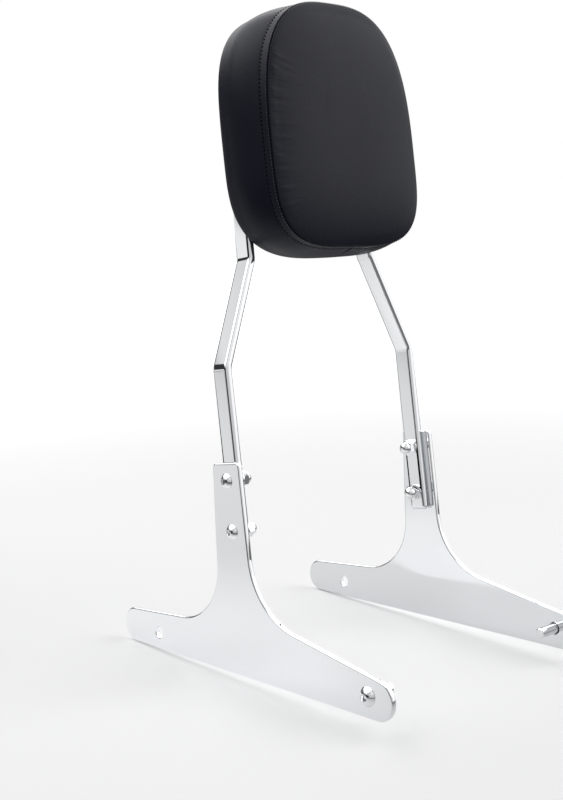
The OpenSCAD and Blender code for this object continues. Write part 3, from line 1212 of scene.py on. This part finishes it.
    def creases(self, piece: bpy.types.Object) -> None:
        """Lifts and sinks the cover a little: slow waves, and creases by the right-hand seam.

        Args:
            piece: the cover, in mm.
        """
        mesh = piece.data
        count = len(mesh.vertices)
        coords, normals = np.empty(count * 3), np.empty(count * 3)
        mesh.vertices.foreach_get("co", coords)
        mesh.vertices.foreach_get("normal", normals)
        coords, normals = coords.reshape(-1, 3), normals.reshape(-1, 3)
        ahead = -(coords[:, 1] - self.back)
        gap, place = np.full(count, 1e9), np.zeros(count)
        for index, angle in enumerate(self.angles):
            seam = np.array(self.outline(angle, 0.0, 0.0))
            away = np.linalg.norm(coords[:, [0, 2]] - seam, axis=1)
            closer = away < gap
            gap[closer], place[closer] = away[closer], index
        inside = ahead > self.seam_depth - 0.5
        start, width = self.crease_clear
        clear = np.clip((gap - start) / width, 0, 1)
        rng = random.Random(self.seed)
        height = np.zeros(count)
        for _ in range(self.crease_count):
            middle, reach, narrow, slant, tall = (rng.uniform(*span) for span in self.crease_spans)
            half = self.around / 2
            offset = (place - middle * self.around - slant * gap + half) % self.around - half
            ridge = tall * np.exp(-(offset / narrow) ** 2)
            height += ridge * np.exp(-((gap - self.crease_peak) / reach) ** 2) * clear
        height *= inside
        start, width = self.wave_calm
        away = np.abs(ahead - self.seam_depth) + gap * inside
        calm = np.clip((away - start) / width, 0, 1)
        for _ in range(self.wave_count):
            way = np.array([rng.uniform(-1, 1) for _ in range(3)])
            way *= rng.uniform(*self.wave_bend) / np.linalg.norm(way)
            height += self.wave_height * np.sin(coords @ way + rng.uniform(0, 6.3)) * calm
        height[coords[:, 1] > self.back - self.calm_hem] = 0.0
        coords += normals * height[:, None]
        mesh.vertices.foreach_set("co", coords.ravel())
        mesh.update()

    def build(self) -> None:
        """Makes the cover with its seams and both rows of stitches."""
        cover = self.shell()
        self.inflate(cover)
        lines = [self.stitch_line(cover, row) for row in self.rows]
        self.groove(cover)
        modify(cover, "SUBSURF", levels=2, render_levels=2)
        self.creases(cover)
        take(cover)
        bpy.ops.object.shade_smooth()
        seat(cover, VINYL.material(), ("pad_gusset", "pad_front_panel"), PLACE)
        for row, (line, normal) in zip(self.rows, lines):
            self.stitches(row, line, normal)


@dataclass
class CarriedPieces:
    """CAD pieces that are shown as they are, with a finish of their own."""

    finishes: dict[str, Finish] = field(default_factory=lambda: {
        "tee_nuts": ZINC, "pad_back_cover": BACKING, "pad_base_board": BOARD, "pad_foam": CUSHION})

    def build(self) -> None:
        """Gives each carried piece its material."""
        for node, finish in self.finishes.items():
            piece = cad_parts[node]
            piece.data.materials.clear()
            piece.data.materials.append(finish.material())
            log.info("%s: %s", node, finish.name)


@dataclass
class Studio:
    """Floor, lamps, surroundings and camera."""

    camera_place: tuple[float, float, float] = (-0.8522, -0.9531, 0.3988)
    camera_pitch: float = 8.389
    camera_azimuth: float = -42.815
    focal_pixels: float = 1300.0
    frame_height: float = 800.0
    lamps: tuple[tuple[str, tuple[float, float, float], float, float], ...] = (
        ("key_lamp", (1.3, -1.5, 1.7), 2.0, 20.0), ("side_lamp", (-1.6, 0.6, 1.9), 1.6, 8.0),
        ("rear_lamp", (0.1, 1.7, 1.9), 1.7, 17.0))
    lamp_aim: tuple[float, float, float] = (0.0, -0.05, 0.25)
    floor_radius: float = 9.0
    floor_gap: float = 0.0005
    floor_grey: float = 0.86

    def camera(self) -> None:
        """Sets up the camera of the photograph's viewing angle."""
        data = bpy.data.cameras.new("camera")
        data.sensor_fit = "VERTICAL"
        data.sensor_height = 24.0
        data.lens = self.focal_pixels / self.frame_height * data.sensor_height
        data.clip_start = 0.01
        made = bpy.data.objects.new("camera", data)
        made.location = self.camera_place
        made.rotation_euler = (math.radians(90.0 - self.camera_pitch), 0.0,
                               math.radians(self.camera_azimuth))
        bpy.context.scene.collection.objects.link(made)
        bpy.context.scene.camera = made

    def lamp(self, name: str, place: Sequence[float], size: float, power: float) -> None:
        """Hangs a square soft lamp that faces the object.

        Args:
            name: name for the lamp.
            place: where it hangs, in metres.
            size: its width in metres.
            power: its power in watts.
        """
        data = bpy.data.lights.new(name, "AREA")
        data.size = size
        data.energy = power
        made = bpy.data.objects.new(name, data)
        made.location = place
        aim = Vector(self.lamp_aim) - Vector(place)
        made.rotation_euler = aim.to_track_quat("-Z", "Y").to_euler()
        bpy.context.scene.collection.objects.link(made)

    def flank(self, x: Wire, y: Wire) -> Wire:
        """Marks the narrow sector beside the object that only its side faces mirror."""
        return (x * -0.99 + y * -0.12).ramp(0.86, 0.98)

    def floor(self) -> None:
        """Lays a pale floor that keeps the object's shadow and is darker in mirrors."""
        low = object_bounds()[0][2]
        nothing_selected()
        bpy.ops.mesh.primitive_circle_add(vertices=96, radius=self.floor_radius, fill_type="NGON",
                                          location=(0.0, 0.0, low - self.floor_gap))
        piece = added("floor")
        material, shader = new_material("pale_floor")
        path = shader.node("ShaderNodeLightPath")
        camera, mirror = shader.wire(path, "Is Camera Ray"), shader.wire(path, "Is Glossy Ray")
        length, heading = (
            shader.node("ShaderNodeVectorMath", settings={"operation": operation},
                        inputs={0: shader.place()}) for operation in ("LENGTH", "NORMALIZE"))
        away = shader.wire(length, "Value")
        x, y, _ = shader.parts(shader.wire(heading))
        front = (1.0 - (x * -0.6 + y * 0.8).ramp(0.1, 0.5)) * away.ramp(0.2, 0.6) * 0.75
        side = self.flank(x, y) * away.ramp(0.4, 0.8) * 0.85
        rear = y.ramp(0.78, 0.9) * away.ramp(0.15, 0.35) * 0.4
        dim = front.most(side).most(rear).most(away.ramp(2.5, 5.0) * 0.15)
        pale, black = (
            shader.wire(shader.node("ShaderNodeBsdfDiffuse",
                                    inputs={"Color": (grey, grey, grey, 1.0)}))
            for grey in (self.floor_grey, 0.0))
        lit = shader.node("ShaderNodeMixShader", inputs={0: mirror * dim, 1: pale, 2: black})
        beside = (x * -1.0).ramp(0.2, 0.5) * (1.0 - away.ramp(0.22, 0.5))
        mirrored = (1.0 - dim) * (beside * 0.2 + 0.04)
        strength = camera * (away.ramp(0.6, 3.6) * 0.75 + 0.085) + mirror * mirrored
        glow = shader.node("ShaderNodeEmission",
                           inputs={"Color": (1, 1, 1, 1), "Strength": strength})
        both = shader.node("ShaderNodeAddShader",
                           inputs={0: shader.wire(lit), 1: shader.wire(glow)})
        shader.node("ShaderNodeOutputMaterial", inputs={"Surface": shader.wire(both)})
        piece.data.materials.append(material)
        piece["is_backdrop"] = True

    def surroundings(self) -> None:
        """Sets white walls for the eye, with darker regions and soft boxes that mirrors see."""
        world = bpy.data.worlds.new("studio")
        bpy.context.scene.world = world
        world.use_nodes = True
        shader = Shader(world.node_tree)
        way = shader.wire(shader.node("ShaderNodeTexCoord"), "Generated")
        x, y, z = shader.parts(way)
        to_camera = Vector(self.camera_place[:2]).normalized()
        facing = x * to_camera.x + y * to_camera.y
        behind = x * -0.66 + y * 0.74
        beside = self.flank(x, y) * (1.0 - z.ramp(0.2, 0.34))
        dark_wall = (facing.ramp(0.3, 0.9) * (1.0 - z.ramp(0.3, 0.55)) * 0.35).most(beside)
        gap = z.ramp(0.01, 0.05) * (1.0 - z.ramp(0.3, 0.36)) * behind.ramp(0.25, 0.5)
        overhead = z.ramp(0.25, 0.65) * behind.ramp(-0.2, 0.4)
        right = (x * 0.73 + y * -0.68).ramp(0.7, 0.95)
        softbox = (x * -0.42 + y * 0.28 + z * 0.86).ramp(0.84, 0.96)
        top_box = (x * 0.6 + y * 0.3 + z * 0.74).ramp(0.8, 0.95)
        dark = (1.0 - dark_wall * 0.92) * (1.0 - gap * 0.96) * (1.0 - overhead * 0.5)
        shade = dark + right * 0.18 + softbox * 3.6 + top_box * 2.5
        path = shader.node("ShaderNodeLightPath")
        camera = shader.wire(path, "Is Camera Ray")
        mirror = shader.wire(path, "Is Glossy Ray").most(shader.wire(path, "Is Transmission Ray"))
        strength = camera + (1.0 - camera) * (mirror * shade + (1.0 - mirror) * 0.55)
        background = shader.node("ShaderNodeBackground",
                                 inputs={"Color": (1, 1, 1, 1), "Strength": strength})
        shader.node("ShaderNodeOutputWorld", inputs={"Surface": shader.wire(background)})

    def build(self) -> None:
        """Sets up the whole studio."""
        self.floor()
        self.surroundings()
        for lamp in self.lamps:
            self.lamp(*lamp)
        bpy.context.scene.view_settings.view_transform = "Standard"


def main() -> None:
    logging.basicConfig(level=logging.INFO, format="%(name)s %(message)s")
    studio = Studio()
    studio.camera()
    for part in (PlatedFrame(), Hardware(), BackrestPad(), CarriedPieces(), studio):
        part.build()
        log.info("%s done", type(part).__name__)


if __name__ == "__main__":
    main()
